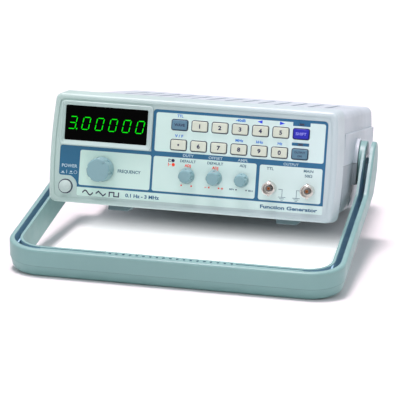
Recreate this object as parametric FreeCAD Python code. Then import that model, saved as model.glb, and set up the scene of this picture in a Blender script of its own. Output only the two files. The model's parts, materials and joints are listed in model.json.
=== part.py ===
import FreeCAD, Part
import math
import os

# Bench function generator, millimetres.
#
# Everything is drawn upright in the casing's own axes: x to the right across the front,
# y from the bezel's front face (0) to the rear, z up from the bezel's lower edge (0).
# At the end one placement leans the whole set back on its rear feet and its handle,
# which is the stance it is used in, and puts the origin under the middle of its box.

Vector = FreeCAD.Vector

# ---------------------------------------------------------------- driving dimensions
# casing
BEZEL_HALF_MID = 109.0       # widest, a little above half height
BEZEL_HALF_TOP = 106.7
BEZEL_HALF_BOTTOM = 107.5
BEZEL_HEIGHT = 82.2
BEZEL_BOW_Z = 46.0           # height of the widest point of the bowed sides
BEZEL_DEPTH = 31.0
BEZEL_DRAFT = 1.6            # the bezel opens by this much each side towards the rear
CORNER_R = 5.0               # long edges of the bezel
COVER_R = 6.0                # long edges of the covers
WALL = 2.4
RING, RING_DROP = 3.6, 0.6   # width of the front's outer ring, and how far the middle lies behind it
COVER_END = 263.0
SPLIT_Z = 40.0               # covers part here, on the handle's axis
SPLIT_GAP = 0.35
SIDE_STEP = 1.0              # the lower side panels stand this much proud
SIDE_STEP_Z = 64.5
SIDE_STEP_Y = 70.0

# front plate and its printed film
PLATE = 3.2
FILM_RECESS = 1.2
FILM = 0.5
FILM_LEFT, FILM_RIGHT = -101.4, 100.8
FILM_LOW, FILM_HIGH = 5.6, 75.2
FILM_STEP_X, FILM_STEP_Z = -31.4, 43.2      # notch that the display frame fills
FILM_WALL_X, FILM_SHELF_Z = -87.0, 20.3     # notch round the power button

# display
WINDOW_X, WINDOW_Z = -67.05, 60.45
WINDOW_W, WINDOW_H = 63.5, 26.5
WINDOW_CORNER = 1.0
FRAME_LEFT, FRAME_TOP = -102.2, 77.0
FRAME_PROUD, FRAME_RIM, FRAME_SILL_Y = 1.2, 1.0, 0.3
PANE_Y = 0.6                 # front of the display window
DIGITS = 6
DIGIT_PITCH = 10.4
DIGIT_X0 = -93.2

# keys
KEY_X0, KEY_PITCH = -10.86, 15.30
KEY_ROWS = (64.6, 49.6)
KEY_W, KEY_H = 11.5, 7.2
KEY_GAP = 0.5
KEY_PROUD = 1.0
KEY_TRAVEL = 0.8
TOP_KEYS = ("wave", "1", "2", "3", "4", "5", "shift")
LOW_KEYS = ("point", "6", "7", "8", "9", "0", "output")

# knobs
FREQ_X, KNOB_Z = -68.2, 26.9
FREQ_R, FREQ_FRONT_R, FREQ_LENGTH = 9.4, 8.8, 13.8
DUTY_X, OFFSET_X, AMPL_X = -2.9, 18.0, 38.8
PULL_R, PULL_FRONT_R = 6.0, 4.7
AMPL_R, AMPL_FRONT_R = 5.4, 4.3
SMALL_LENGTH = 10.2
SCALLOPS = 6
SHAFT_R = 3.0
RUNNING = 0.05               # radial clearance of everything that turns
KNOB_LIFT = 0.2              # knobs stop this far in front of the bezel face
PULL_TRAVEL = 4.0
MIN_ANGLE, MAX_ANGLE = 242.0, -62.0         # pointer at the two ends of a knob's turn

# power button
POWER_X, POWER_Z = -95.6, 12.0
POWER_R, POWER_PROUD = 4.75, 2.6

# BNC sockets
BNC_XS, BNC_Z = (60.8, 89.4), 23.0
BNC_R, BNC_PROUD = 4.85, 12.5
BNC_THREAD_R, BNC_NECK_R = 4.3, 4.55
BNC_BORE_R, BNC_CORE_R = 4.1, 2.3
BNC_RELIEF_Y = -8.6          # behind this the barrel is a little thinner, and the lugs stand there

# boards
FRONT_BOARD_Y, BOARD = 12.1, 1.6
MAIN_BOARD_Z = 7.0
MAIN_BOARD_Y = (40.0, 250.0)

# handle
PIVOT_Y, PIVOT_Z = 130.0, 40.0
HUB_R = 17.6
BOSS_X, HUB_X0, HUB_X1 = 112.5, 112.8, 118.2
PIVOT_R = 5.0
HEAD_R, HEAD_X0, HEAD_X1 = 8.0, 115.7, 118.0
ARM_ANGLE, DOGLEG_ANGLE = 17.5, 52.0        # below the horizontal, towards the front
BAR_TOP_Y, BAR_TOP_Z = -63.5, -31.6         # upper front edge of the bar
ARM_DEPTH = 21.7
ARM_X0, ARM_X1 = 115.4, 125.5
FLANGE_X0, FLANGE_X1 = 117.4, 121.8         # the channel between the two flanges
BAR_WIDTH = 8.6
SOLID_BAR = 97.0             # within this half-width the channel closes to a slit
SLIT_FRONT, SLIT_REAR = 4.8, 6.2
WEB = 3.0
BAR_CORNER = 27.0
TAPER_FROM = 8.7             # the lower part of the outer wall tapers in
TAPER = 2.0
PART_STEP = 0.25             # step at the parting line, where the taper starts
BAR_EDGE_R = 3.0             # lower front edge, the one that rests on the bench
EDGE_R = 1.8                 # upper outer edge, all along the bar and the arms
GRIP_HALF = 48.0             # within this half-width pockets replace the slit
GRIP_POCKETS = 19
GRIP_PITCH = 5.0
POCKET_DEPTH = 9.0

# feet
FOOT_HEIGHT = 8.8
FOOT_XS = (58.0, -75.5)      # left faces: the same moulding on both sides, not a mirrored one
FOOT_WIDTH = 21.5
FOOT_YS = ((64.0, 80.0), (234.0, 250.0))
FOOT_SLANT = 6.0
FOOT_EDGE_R = 1.0
BUMPER_DEPTH = 12.0

FAR = 400.0


# ---------------------------------------------------------------- small shape helpers
def box(x0, x1, y0, y1, z0, z1):
    return Part.makeBox(x1 - x0, y1 - y0, z1 - z0, Vector(x0, y0, z0))


def rod_x(r, x0, x1, y, z):
    return Part.makeCylinder(r, x1 - x0, Vector(x0, y, z), Vector(1, 0, 0))


def rod_y(r, y0, y1, x, z):
    return Part.makeCylinder(r, y1 - y0, Vector(x, y0, z), Vector(0, 1, 0))


def rod_z(r, z0, z1, x, y):
    return Part.makeCylinder(r, z1 - z0, Vector(x, y, z0), Vector(0, 0, 1))


def hex_y(across, y0, y1, x, z):
    """Hexagonal prism along y."""
    r = across / math.sqrt(3)
    corners = [Vector(x + r * math.cos(i * math.pi / 3), y0, z + r * math.sin(i * math.pi / 3))
               for i in range(6)]
    return prism(corners, Vector(0, y1 - y0, 0))


def prism(corners, sweep):
    """Straight prism over a polygon."""
    return Part.Face(Part.makePolygon(corners + corners[:1])).extrude(sweep)


def edges_along(shape, direction):
    """The straight edges of a shape that run along a direction."""
    found = []
    for edge in shape.Edges:
        if edge.Curve.TypeId != "Part::GeomLine":
            continue
        if abs(edge.tangentAt(edge.FirstParameter).dot(direction)) > 0.999:
            found.append(edge)
    return found


def rounded_at(shape, direction, corners):
    """Round the straight edges that pass through the given points."""
    for point, radius in corners:
        hits = [edge for edge in edges_along(shape, direction)
                if (edge.Vertexes[0].Point - point).cross(direction).Length < 0.02]
        shape = shape.makeFillet(radius, hits)
    return shape


def pad_y(x0, x1, y0, y1, z0, z1, r):
    """Block whose four edges along y are rounded."""
    block = box(x0, x1, y0, y1, z0, z1)
    return block.makeFillet(r, edges_along(block, Vector(0, 1, 0)))


def fuse(shapes):
    first, rest = shapes[0], shapes[1:]
    return first.fuse(rest).removeSplitter() if rest else first


def group(shapes):
    """Separate solids kept in one node."""
    return Part.makeCompound(shapes)


def mirrored(shape):
    return shape.mirror(Vector(0, 0, 0), Vector(1, 0, 0))


def both_sides(shape):
    return [shape, mirrored(shape)]


# ---------------------------------------------------------------- casing
def casing_outline(y, inset, bow=0.0):
    """Closed outline of the casing at depth y: level top and bottom, bowed sides."""
    top, mid, low = BEZEL_HALF_TOP - inset, BEZEL_HALF_MID - inset + bow, BEZEL_HALF_BOTTOM - inset
    z0, z1 = inset, BEZEL_HEIGHT - inset
    right = Part.Arc(Vector(low, y, z0), Vector(mid, y, BEZEL_BOW_Z), Vector(top, y, z1)).toShape()
    left = Part.Arc(Vector(-top, y, z1), Vector(-mid, y, BEZEL_BOW_Z), Vector(-low, y, z0)).toShape()
    roof = Part.LineSegment(Vector(top, y, z1), Vector(-top, y, z1)).toShape()
    floor = Part.LineSegment(Vector(-low, y, z0), Vector(low, y, z0)).toShape()
    return Part.Wire([right, roof, left, floor])


def casing_block(y0, y1, inset0, inset1, corner):
    """Solid between two casing outlines, its four long edges rounded."""
    block = Part.makeLoft([casing_outline(y0, inset0), casing_outline(y1, inset1)], True, True)
    long_edges = [edge for edge in block.Edges
                  if abs(edge.BoundBox.YLength - (y1 - y0)) < 0.01]
    return block.makeFillet(corner, long_edges)


def film_outline(y, grow):
    """Outline of the printed film: notched for the display frame, hollowed round the button."""
    left, right = FILM_LEFT - grow, FILM_RIGHT + grow
    low, high = FILM_LOW - grow, FILM_HIGH + grow
    notch_x, notch_z = FILM_STEP_X - grow, FILM_STEP_Z + grow
    hollow = 8.9 - grow
    shelf_z = FILM_SHELF_Z - grow
    wall_x = FILM_WALL_X - grow
    shelf_x = POWER_X + math.sqrt(hollow ** 2 - (shelf_z - POWER_Z) ** 2)
    wall_z = POWER_Z + math.sqrt(hollow ** 2 - (wall_x - POWER_X) ** 2)
    middle = math.radians(45.0)
    arc = Part.Arc(Vector(wall_x, y, wall_z),
                   Vector(POWER_X + hollow * math.cos(middle), y, POWER_Z + hollow * math.sin(middle)),
                   Vector(shelf_x, y, shelf_z)).toShape()
    path = [Vector(shelf_x, y, shelf_z), Vector(left, y, shelf_z), Vector(left, y, notch_z),
            Vector(notch_x, y, notch_z), Vector(notch_x, y, high), Vector(right, y, high),
            Vector(right, y, low), Vector(wall_x, y, low), Vector(wall_x, y, wall_z)]
    lines = [Part.LineSegment(a, b).toShape() for a, b in zip(path, path[1:])]
    return Part.Wire(lines + [arc])


def film_block(y0, y1, grow):
    block = Part.Face(film_outline(y0, grow)).extrude(Vector(0, y1 - y0, 0))
    left, right = FILM_LEFT - grow, FILM_RIGHT + grow
    low, high = FILM_LOW - grow, FILM_HIGH + grow
    corners = ((right, high, 3.0), (FILM_STEP_X - grow, high, 2.5), (left, FILM_STEP_Z + grow, 1.8),
               (left, FILM_SHELF_Z - grow, 1.8), (FILM_WALL_X - grow, low, 1.0), (right, low, 1.0))
    return rounded_at(block, Vector(0, 1, 0), [(Vector(x, y0, z), r) for x, z, r in corners])


def keys():
    """Name and centre of every key."""
    for z, names in zip(KEY_ROWS, (TOP_KEYS, LOW_KEYS)):
        for column, name in enumerate(names):
            yield name, KEY_X0 + column * KEY_PITCH, z


def leds():
    """Centres of the two status lamps, above the last key of each row."""
    x = KEY_X0 + 6 * KEY_PITCH
    return [(x, KEY_ROWS[0] + 7.0), (x, KEY_ROWS[1] + 7.0)]


def front_openings(y0, y1):
    """Everything that passes through the film and the plate behind it."""
    cuts = []
    for _, x, z in keys():
        w, h = KEY_W / 2 + KEY_GAP, KEY_H / 2 + KEY_GAP
        cuts.append(pad_y(x - w, x + w, y0, y1, z - h, z + h, 1.5))
    for x in (FREQ_X, DUTY_X, OFFSET_X, AMPL_X):
        cuts.append(rod_y(3.6, y0, y1, x, KNOB_Z))
    for x in BNC_XS:
        cuts.append(rod_y(BNC_THREAD_R + 0.1, y0, y1, x, BNC_Z))
    for x, z in leds():
        cuts.append(box(x - 1.9, x + 1.9, y0, y1, z - 0.7, z + 0.7))
    return cuts


def window_block(y0, y1, grow):
    """Block over the display opening, larger than it by grow on every side."""
    w, h = WINDOW_W / 2 + grow, WINDOW_H / 2 + grow
    return pad_y(WINDOW_X - w, WINDOW_X + w, y0, y1, WINDOW_Z - h, WINDOW_Z + h, WINDOW_CORNER + grow)


def display_frame():
    """Frame round the window: a rounded rim, and inside it four bars that slope in to the window."""
    frame = pad_y(FRAME_LEFT, FILM_STEP_X, -FRAME_PROUD, PLATE, FILM_STEP_Z, FRAME_TOP, 3.0)
    rim = [edge for edge in frame.Edges if edge.BoundBox.YMax < -FRAME_PROUD + 0.01]
    frame = frame.makeFillet(0.8, rim)
    mouth = pad_y(FRAME_LEFT + FRAME_RIM, FILM_STEP_X - FRAME_RIM, -FRAME_PROUD, 0.0,
                  FILM_STEP_Z + FRAME_RIM, FRAME_TOP - FRAME_RIM, 2.4)
    sill = window_block(FRAME_SILL_Y, PLATE, 0.0)
    outlines = [min(block.Faces, key=lambda face: face.BoundBox.YMax).OuterWire for block in (mouth, sill)]
    return frame.cut(Part.makeLoft(outlines, True, True))


def front_bezel():
    outer = casing_block(0.0, BEZEL_DEPTH, 0.0, -BEZEL_DRAFT, CORNER_R)
    front_loop = [edge for edge in outer.Edges if edge.BoundBox.YMax < 0.01]
    outer = outer.makeFillet(2.6, front_loop)
    hollow = casing_block(PLATE, BEZEL_DEPTH + 1.0, WALL, WALL - BEZEL_DRAFT, CORNER_R - WALL)
    shell = outer.cut(hollow)
    # a thin groove parts the outer ring from the middle, which lies a little lower
    groove = casing_block(-1.0, 0.85, RING, RING, 4.2).cut(casing_block(-1.0, 0.85, RING + 0.7, RING + 0.7, 3.5))
    shell = shell.cut([groove, casing_block(-1.0, RING_DROP, RING + 0.7, RING + 0.7, 3.5)])
    shell = shell.cut(film_block(-1.0, FILM_RECESS, 0.0)).fuse(display_frame()).removeSplitter()
    window, pocket = window_block(-3.0, PLATE + 1.0, 0.0), window_block(1.6, PLATE + 1.0, 1.2)
    button = rod_y(POWER_R + 0.45, -1.0, PLATE + 1.0, POWER_X, POWER_Z)
    return shell.cut([window, pocket, button] + front_openings(-1.0, PLATE + 1.0))


def front_overlay():
    film = film_block(FILM_RECESS - FILM, FILM_RECESS, -0.1)
    return film.cut(front_openings(-1.0, PLATE))


def display_filter():
    """Dark window that fills its opening, held by a flange behind the plate."""
    pane = window_block(PANE_Y, 1.7, -0.1)
    rim = [edge for edge in pane.Edges if edge.BoundBox.YMax < PANE_Y + 0.01]
    return fuse([pane.makeChamfer(0.25, rim), window_block(1.6, 3.4, 1.1)])


def side_panel():
    """Proud lower part of a side wall, ramped up from the flush front part."""
    x0 = BEZEL_HALF_TOP - 4.0
    x1 = BEZEL_HALF_MID
    inner = x1 - SIDE_STEP
    plan = [Vector(x0, SIDE_STEP_Y - 12, 6.0), Vector(inner, SIDE_STEP_Y - 12, 6.0),
            Vector(x1, SIDE_STEP_Y, 6.0), Vector(x1, COVER_END, 6.0), Vector(x0, COVER_END, 6.0)]
    panel = prism(plan, Vector(0, 0, SIDE_STEP_Z - 6.0))
    # chamfered lower edge, deeper in front of the handle's boss
    rear = [Vector(x1 + 1, 0, 0), Vector(x1 + 1, 0, 14.0), Vector(x1 - 2.4, 0, 0)]
    front = [Vector(x1 + 1, 0, 0), Vector(x1 + 1, 0, 24.0), Vector(x1, 0, 17.0), Vector(x1 - 2.6, 0, 0)]
    return panel.cut([prism(rear, Vector(0, FAR, 0)), prism(front, Vector(0, PIVOT_Y - 17.0, 0))])


def cover_tube():
    """Both covers in one: a tube behind the bezel, with side panels and handle bosses."""
    inset = SIDE_STEP
    outer = casing_block(BEZEL_DEPTH, COVER_END, inset, inset, COVER_R)
    blocks = [outer] + both_sides(side_panel())
    round_top = rod_x(19.0, BEZEL_HALF_TOP - 3, BOSS_X, PIVOT_Y, PIVOT_Z)
    square = box(BEZEL_HALF_TOP - 3, BOSS_X, PIVOT_Y - 19, PIVOT_Y + 19, 23.0, PIVOT_Z)
    upper = round_top.cut(box(0, FAR, 0, FAR, 0, PIVOT_Z))
    blocks += both_sides(upper) + both_sides(square)
    hollow = casing_block(BEZEL_DEPTH - 1, COVER_END + 1, inset + WALL, inset + WALL, COVER_R - WALL)
    bores = both_sides(rod_x(PIVOT_R + RUNNING, 90, BOSS_X + 1, PIVOT_Y, PIVOT_Z))
    return fuse(blocks).cut([hollow] + bores)


VENT_PITCH = 13.7
VENTS = 13
VENT_DEPTH = 1.0             # the top ones are blind: only the underside lets air in


def vents(z0, z1, y0, y1, count):
    """A row of long round-ended slots, cut up or down through z0 to z1."""
    slots = []
    for i in range(count):
        x = (i - (count - 1) / 2) * VENT_PITCH
        slot = box(x - 1.8, x + 1.8, y0, y1, z0, z1)
        slots.append(slot.makeFillet(1.7, edges_along(slot, Vector(0, 0, 1))))
    return slots


def top_cover(tube):
    part = tube.common(box(-FAR, FAR, 0, FAR, SPLIT_Z + SPLIT_GAP / 2, FAR))
    roof = BEZEL_HEIGHT - SIDE_STEP
    return part.cut(vents(roof - VENT_DEPTH, roof + 1, 132.0, 226.0, VENTS))


def screw_places():
    """Feet of the board standoffs, where screws come up through the bottom cover."""
    return [(x, y) for x in (-84.0, 84.0) for y in (58.0, 146.0, 230.0)]


def bottom_cover(tube):
    part = tube.common(box(-FAR, FAR, 0, FAR, -1, SPLIT_Z - SPLIT_GAP / 2))
    holes = [rod_z(1.7, -1, WALL + 2, x, y) for x, y in screw_places()]
    return part.cut(vents(-1, 5, 100.0, 200.0, 7) + holes)


INLET_X, INLET_Z = 70.0, 27.0
SELECTOR_X, SELECTOR_Z = 30.0, 22.0


def rear_panel():
    y0, y1 = COVER_END - 3.5, COVER_END - 2.0
    grow = SIDE_STEP + WALL + 0.15
    plate = casing_block(y0, y1, grow, grow, COVER_R - WALL)
    cuts = [box(INLET_X - 14.2, INLET_X + 14.2, y0 - 1, y1 + 1, INLET_Z - 16.2, INLET_Z + 16.2),
            box(SELECTOR_X - 7.7, SELECTOR_X + 7.7, y0 - 1, y1 + 1, SELECTOR_Z - 4.7, SELECTOR_Z + 4.7)]
    for i in range(9):
        x = -84.0 + i * 9.0
        slot = box(x - 1.6, x + 1.6, y0 - 1, y1 + 1, 22.0, 62.0)
        cuts.append(slot.makeFillet(1.5, edges_along(slot, Vector(0, 1, 0))))
    return plate.cut(cuts)


def foot(x0, y0, y1):
    """Block with one side cut off at a slant towards the floor."""
    x1, top = x0 + FOOT_WIDTH, SIDE_STEP
    face = [Vector(x0, y0, top), Vector(x0, y0, -FOOT_HEIGHT), Vector(x1 - FOOT_SLANT, y0, -FOOT_HEIGHT),
            Vector(x1, y0, -FOOT_HEIGHT + FOOT_SLANT), Vector(x1, y0, top)]
    block = prism(face, Vector(0, y1 - y0, 0))
    sole = [edge for edge in block.Edges if edge.BoundBox.ZMax < -FOOT_HEIGHT + 0.01]
    return block.makeFillet(FOOT_EDGE_R, sole)


def bottom_feet():
    return group([foot(x, y0, y1) for x in FOOT_XS for y0, y1 in FOOT_YS])


def rear_bumpers():
    """Four corner posts that keep the rear panel off a wall."""
    posts = []
    for z in (12.0, 70.0):
        post = pad_y(93.0, 103.5, COVER_END - 2.0, COVER_END + BUMPER_DEPTH, z - 6.5, z + 6.5, 3.0)
        rim = [edge for edge in post.Edges if edge.BoundBox.YMin > COVER_END + BUMPER_DEPTH - 0.01]
        posts += both_sides(post.makeFillet(1.5, rim))
    return group(posts)


def m3_screws():
    """Pan-head screws: six up into the standoffs, six down through the main board."""
    screws = []
    for x, y in screw_places():
        screws.append(rod_z(2.8, -0.9, SIDE_STEP, x, y).fuse(rod_z(1.5, SIDE_STEP, 5.0, x, y)))
        top = MAIN_BOARD_Z + BOARD
        screws.append(rod_z(2.8, top, top + 2.0, x, y).fuse(rod_z(1.5, 5.4, top, x, y)))
    return group(screws)


# ---------------------------------------------------------------- electronics
def main_board():
    y0, y1 = MAIN_BOARD_Y
    board = box(-98, 98, y0, y1, MAIN_BOARD_Z, MAIN_BOARD_Z + BOARD)
    window = box(18, 99, 168, y1 + 1, MAIN_BOARD_Z - 1, MAIN_BOARD_Z + BOARD + 1)
    holes = [rod_z(1.6, 0, 12, x, y) for x, y in screw_places()]
    bridge = box(78, 98, 168, 238, MAIN_BOARD_Z, MAIN_BOARD_Z + BOARD)
    return board.cut(window).fuse(bridge).removeSplitter().cut(holes)


def board_standoffs():
    posts = []
    floor = SIDE_STEP + WALL
    for x, y in screw_places():
        posts.append(rod_z(3.2, floor, MAIN_BOARD_Z, x, y).cut(rod_z(1.5, 0, 12, x, y)))
    return group(posts)


def front_board():
    y0, y1 = FRONT_BOARD_Y, FRONT_BOARD_Y + BOARD
    board = box(-101, 101, y0, y1, 7.0, 77.0)
    cuts = [box(-102, POWER_X + 6.2, y0 - 1, y1 + 1, 6, POWER_Z + 6.2)]
    for x in (DUTY_X, OFFSET_X, AMPL_X):
        cuts.append(box(x - 6.4, x + 6.4, y0 - 1, y1 + 1, KNOB_Z - 6.9, KNOB_Z + 6.9))
    for x in BNC_XS:
        cuts.append(rod_y(7.4, y0 - 1, y1 + 1, x, BNC_Z))
    return board.cut(cuts)


def digit_modules():
    """One seven-segment module per digit, standing on the front board."""
    modules = []
    for i in range(DIGITS):
        x = DIGIT_X0 + i * DIGIT_PITCH
        modules.append(box(x - 5.0, x + 5.0, 5.6, FRONT_BOARD_Y, WINDOW_Z - 6.6, WINDOW_Z + 6.6))
    return group(modules)


def key_switches():
    """Tactile switches behind the keys, each hollow where the key's stem enters."""
    switches = []
    for _, x, z in keys():
        body = box(x - 3, x + 3, 8.3, FRONT_BOARD_Y, z - 3, z + 3)
        switches.append(body.cut(rod_y(2.0, 8.0, 11.4, x, z)))
    return group(switches)


def status_leds():
    lamps = []
    for x, z in leds():
        lamps.append(box(x - 1.7, x + 1.7, 0.9, FRONT_BOARD_Y, z - 0.5, z + 0.5))
    return group(lamps)


def key(name, x, z):
    """Key cap with a retaining flange behind the plate and a stem into its switch."""
    w, h = KEY_W / 2, KEY_H / 2
    cap = pad_y(x - w, x + w, FILM_RECESS - FILM - KEY_PROUD, 5.0, z - h, z + h, 1.1)
    rim = [edge for edge in cap.Edges if edge.BoundBox.YMax < 0.0]
    cap = cap.makeFillet(0.6, rim)
    flange = box(x - w - 1.1, x + w + 1.1, 3.6, 5.0, z - h - 1.1, z + h + 1.1)
    stem = rod_y(1.7, 5.0, 9.4, x, z)
    return fuse([cap, flange, stem])


def encoder_body():
    case = box(FREQ_X - 6, FREQ_X + 6, 5.2, FRONT_BOARD_Y, KNOB_Z - 6.5, KNOB_Z + 6.5)
    bush = rod_y(3.5, 1.2, 5.2, FREQ_X, KNOB_Z)
    return fuse([case, bush]).cut(rod_y(SHAFT_R + RUNNING, 0, 11.2, FREQ_X, KNOB_Z))


def potentiometer(x, rear):
    """Square pot with a bushing through the plate and a through bore for its shaft."""
    case = box(x - 6, x + 6, 5.2, rear, KNOB_Z - 6.5, KNOB_Z + 6.5)
    bush = rod_y(3.5, 1.2, 5.2, x, KNOB_Z)
    return fuse([case, bush]).cut(rod_y(SHAFT_R + RUNNING, 0, 14.8, x, KNOB_Z))


def pull_pot(x):
    """Pot with a pull switch: a square chamber behind it lets the carriage slide."""
    chamber = box(x - 4.3, x + 4.3, 14.4, 23.2, KNOB_Z - 4.3, KNOB_Z + 4.3)
    return potentiometer(x, 24.6).cut(chamber)


def carriage(x):
    """Slider of the pull switch: it rides on the shaft's tail and doesn't turn."""
    block = box(x - 3.9, x + 3.9, 18.8, 21.8, KNOB_Z - 3.9, KNOB_Z + 3.9)
    return block.cut(rod_y(2.0 + RUNNING, 18, 23, x, KNOB_Z))


def shaft(x, front, rear):
    return rod_y(SHAFT_R, front, rear, x, KNOB_Z)


def pull_shaft(x):
    tail = rod_y(2.0, 18.7, 22.6, x, KNOB_Z)
    collar = rod_y(2.7, 21.9, 22.6, x, KNOB_Z)
    return fuse([shaft(x, -7.0, 18.7), tail, collar])


def knob(x, r, front_r, length, scallop_r, depth, angle):
    """Moulded knob: tapered, hollow at the back, with scallops that follow the taper."""
    back, front = -KNOB_LIFT, -KNOB_LIFT - length
    body = Part.makeCone(r, front_r, length, Vector(x, back, KNOB_Z), Vector(0, -1, 0))
    rim = [edge for edge in body.Edges if edge.BoundBox.YMax < front + 0.01]
    body = body.makeFillet(1.2, rim)
    hollow = rod_y(r - 1.6, back - 2.5, back + 1, x, KNOB_Z)
    cuts = [hollow.cut(rod_y(SHAFT_R + 1.2, -FAR, 1, x, KNOB_Z)), rod_y(SHAFT_R, front + 3.0, back + 1, x, KNOB_Z)]
    slope = (r - front_r) / length
    for i in range(SCALLOPS):
        a = math.radians(angle + (i + 0.5) * 360.0 / SCALLOPS)
        outward = Vector(math.cos(a), 0, math.sin(a))
        start = Vector(x, front - 1, KNOB_Z) + outward * (front_r - slope + scallop_r - depth)
        cuts.append(Part.makeCylinder(scallop_r, length - 3.5, start, outward * slope + Vector(0, 1, 0)))
    return body.cut(cuts)


def pointer_knob(x, r, front_r, angle):
    """Small knob with a raised line on its face that points to its setting."""
    front = -KNOB_LIFT - SMALL_LENGTH
    mark = box(x + front_r * 0.30, x + front_r - 0.5, front - 0.25, front + 1.2, KNOB_Z - 0.4, KNOB_Z + 0.4)
    mark.rotate(Vector(x, 0, KNOB_Z), Vector(0, -1, 0), angle)
    return knob(x, r, front_r, SMALL_LENGTH, 1.7, 0.45, angle).fuse(mark).removeSplitter()


def frequency_knob():
    """Large knob with a small finger dimple near the edge of its face."""
    front = -KNOB_LIFT - FREQ_LENGTH
    a = math.radians(52.0)
    dimple = Part.makeSphere(2.2, Vector(FREQ_X + 6.6 * math.cos(a), front - 1.7, KNOB_Z + 6.6 * math.sin(a)))
    return knob(FREQ_X, FREQ_R, FREQ_FRONT_R, FREQ_LENGTH, 2.2, 0.6, 18.0).cut(dimple)


def power_button():
    """Domed round cap in front of the plate with a square socket for the push rod."""
    front, rear = -POWER_PROUD, 9.0
    cap = rod_y(POWER_R, front + 1.0, rear, POWER_X, POWER_Z)
    rise = 1.0
    dome_r = (POWER_R ** 2 + rise ** 2) / (2 * rise)
    ball = Part.makeSphere(dome_r, Vector(POWER_X, front + dome_r, POWER_Z))
    cap = rod_y(POWER_R, front - 1.0, rear, POWER_X, POWER_Z).common(ball.fuse(cap))
    edge = [e for e in cap.Edges if abs(e.BoundBox.YMax - (front + rise)) < 0.05 and e.BoundBox.YLength < 0.05]
    cap = cap.makeFillet(0.4, edge)
    socket = box(POWER_X - 1.5, POWER_X + 1.5, 3.0, rear + 1, POWER_Z - 1.5, POWER_Z + 1.5)
    return cap.cut(socket)


def power_push_rod():
    return box(POWER_X - 1.5, POWER_X + 1.5, 3.0, 49.0, POWER_Z - 1.5, POWER_Z + 1.5)


def power_switch():
    y0 = MAIN_BOARD_Y[0] + 1
    case = box(POWER_X - 5, POWER_X + 5, y0, y0 + 24, MAIN_BOARD_Z + BOARD, POWER_Z + 5)
    slot = box(POWER_X - 1.8, POWER_X + 1.8, y0 - 1, 50.0, POWER_Z - 1.8, POWER_Z + 1.8)
    return case.cut(slot)


def bnc_shell(x):
    """Bayonet barrel with its two lugs, and the threaded rear that the nut holds."""
    seat = FILM_RECESS - FILM
    nose = rod_y(BNC_R, -BNC_PROUD, BNC_RELIEF_Y, x, BNC_Z)
    nose = nose.makeChamfer(0.3, [edge for edge in nose.Edges if edge.BoundBox.YMax < -BNC_PROUD + 0.01])
    neck = rod_y(BNC_NECK_R, BNC_RELIEF_Y, seat, x, BNC_Z)
    barrel = fuse([nose, neck, rod_y(BNC_THREAD_R, seat, 16.0, x, BNC_Z)])
    barrel = barrel.cut([rod_y(BNC_BORE_R, -FAR, -1.5, x, BNC_Z), rod_y(BNC_CORE_R, -FAR, FAR, x, BNC_Z)])
    lug = rod_z(0.95, BNC_Z + BNC_R - 0.6, BNC_Z + BNC_R + 0.95, x, -7.6)
    low = rod_z(0.95, BNC_Z - BNC_R - 0.95, BNC_Z - BNC_R + 0.6, x, -7.6)
    return fuse([barrel, lug, low])


def bnc_insulator(x):
    core = rod_y(BNC_CORE_R, -9.5, 17.0, x, BNC_Z)
    return core.cut(rod_y(1.1, -FAR, FAR, x, BNC_Z))


def bnc_contact(x):
    pin = rod_y(1.1, -9.3, 20.0, x, BNC_Z)
    return pin.cut(rod_y(0.55, -FAR, -2.0, x, BNC_Z))


def bnc_nut(x):
    return hex_y(14.0, PLATE, PLATE + 2.6, x, BNC_Z).cut(rod_y(BNC_THREAD_R, 0, FAR, x, BNC_Z))


TRANSFORMER_X, TRANSFORMER_Y = 48.0, 208.0


def transformer():
    """Laminated core on a foot plate, with the winding round its middle limb."""
    x, y = TRANSFORMER_X, TRANSFORMER_Y
    floor = SIDE_STEP + WALL
    core = box(x - 24, x + 24, y - 14, y + 14, floor + 1.5, floor + 41.5)
    windows = [box(x - 16, x - 8, y - 15, y + 15, floor + 9.5, floor + 33.5),
               box(x + 8, x + 16, y - 15, y + 15, floor + 9.5, floor + 33.5)]
    coil = pad_y(x - 15.5, x + 15.5, y - 22, y + 22, floor + 10, floor + 33, 2.0)
    plate = box(x - 28, x + 28, y - 18, y + 18, floor, floor + 1.5)
    return fuse([core.cut(windows), coil, plate])


def heat_sink():
    """Finned aluminium block along the left rear of the main board."""
    z0 = MAIN_BOARD_Z + BOARD
    base = box(-80, -77, 160, 228, z0, z0 + 38)
    fins = [box(-77, -62, 160 + i * 9, 162 + i * 9, z0, z0 + 38) for i in range(8)]
    return fuse([base] + fins)


def board_components():
    """Filter capacitors, power packages and the signal chips on the main board."""
    z0 = MAIN_BOARD_Z + BOARD
    cans = [(-40, 210, 9, 32), (-16, 210, 9, 32), (-40, 184, 6.5, 25), (-20, 184, 6.5, 25),
            (60, 150, 5, 18), (74, 150, 5, 18)]
    parts = [rod_z(r, z0, z0 + h, x, y) for x, y, r, h in cans]
    chips = [(-50, 110, 14, 14), (-15, 110, 10, 5), (15, 112, 10, 5), (45, 108, 9, 9),
             (-50, 75, 10, 5), (-20, 78, 6, 4), (20, 76, 6, 4), (60, 80, 8, 5)]
    parts += [box(x - w, x + w, y - d, y + d, z0, z0 + 3.2) for x, y, w, d in chips]
    return group(parts)


def ribbon_cable():
    """Flat ribbon from the front board down and back to the main board."""
    y0 = FRONT_BOARD_Y + BOARD
    z0 = MAIN_BOARD_Z + BOARD
    x0, x1 = -56.0, -30.0
    bends = ((y0 + 6, 30), (y0 + 7, 30), (29, 15.5), (50, 15.5), (50, z0 + 5), (49, z0 + 5), (49, 14.5),
             (28.4, 14.5), (y0 + 6, 28.8))
    flat = prism([Vector(x0, y, z) for y, z in bends], Vector(x1 - x0, 0, 0))
    plug = box(x0 - 2, x1 + 2, y0, y0 + 7, 26, 32)
    socket = box(x0 - 2, x1 + 2, 46.5, 52.5, z0, z0 + 6)
    return fuse([flat, plug, socket])


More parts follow.
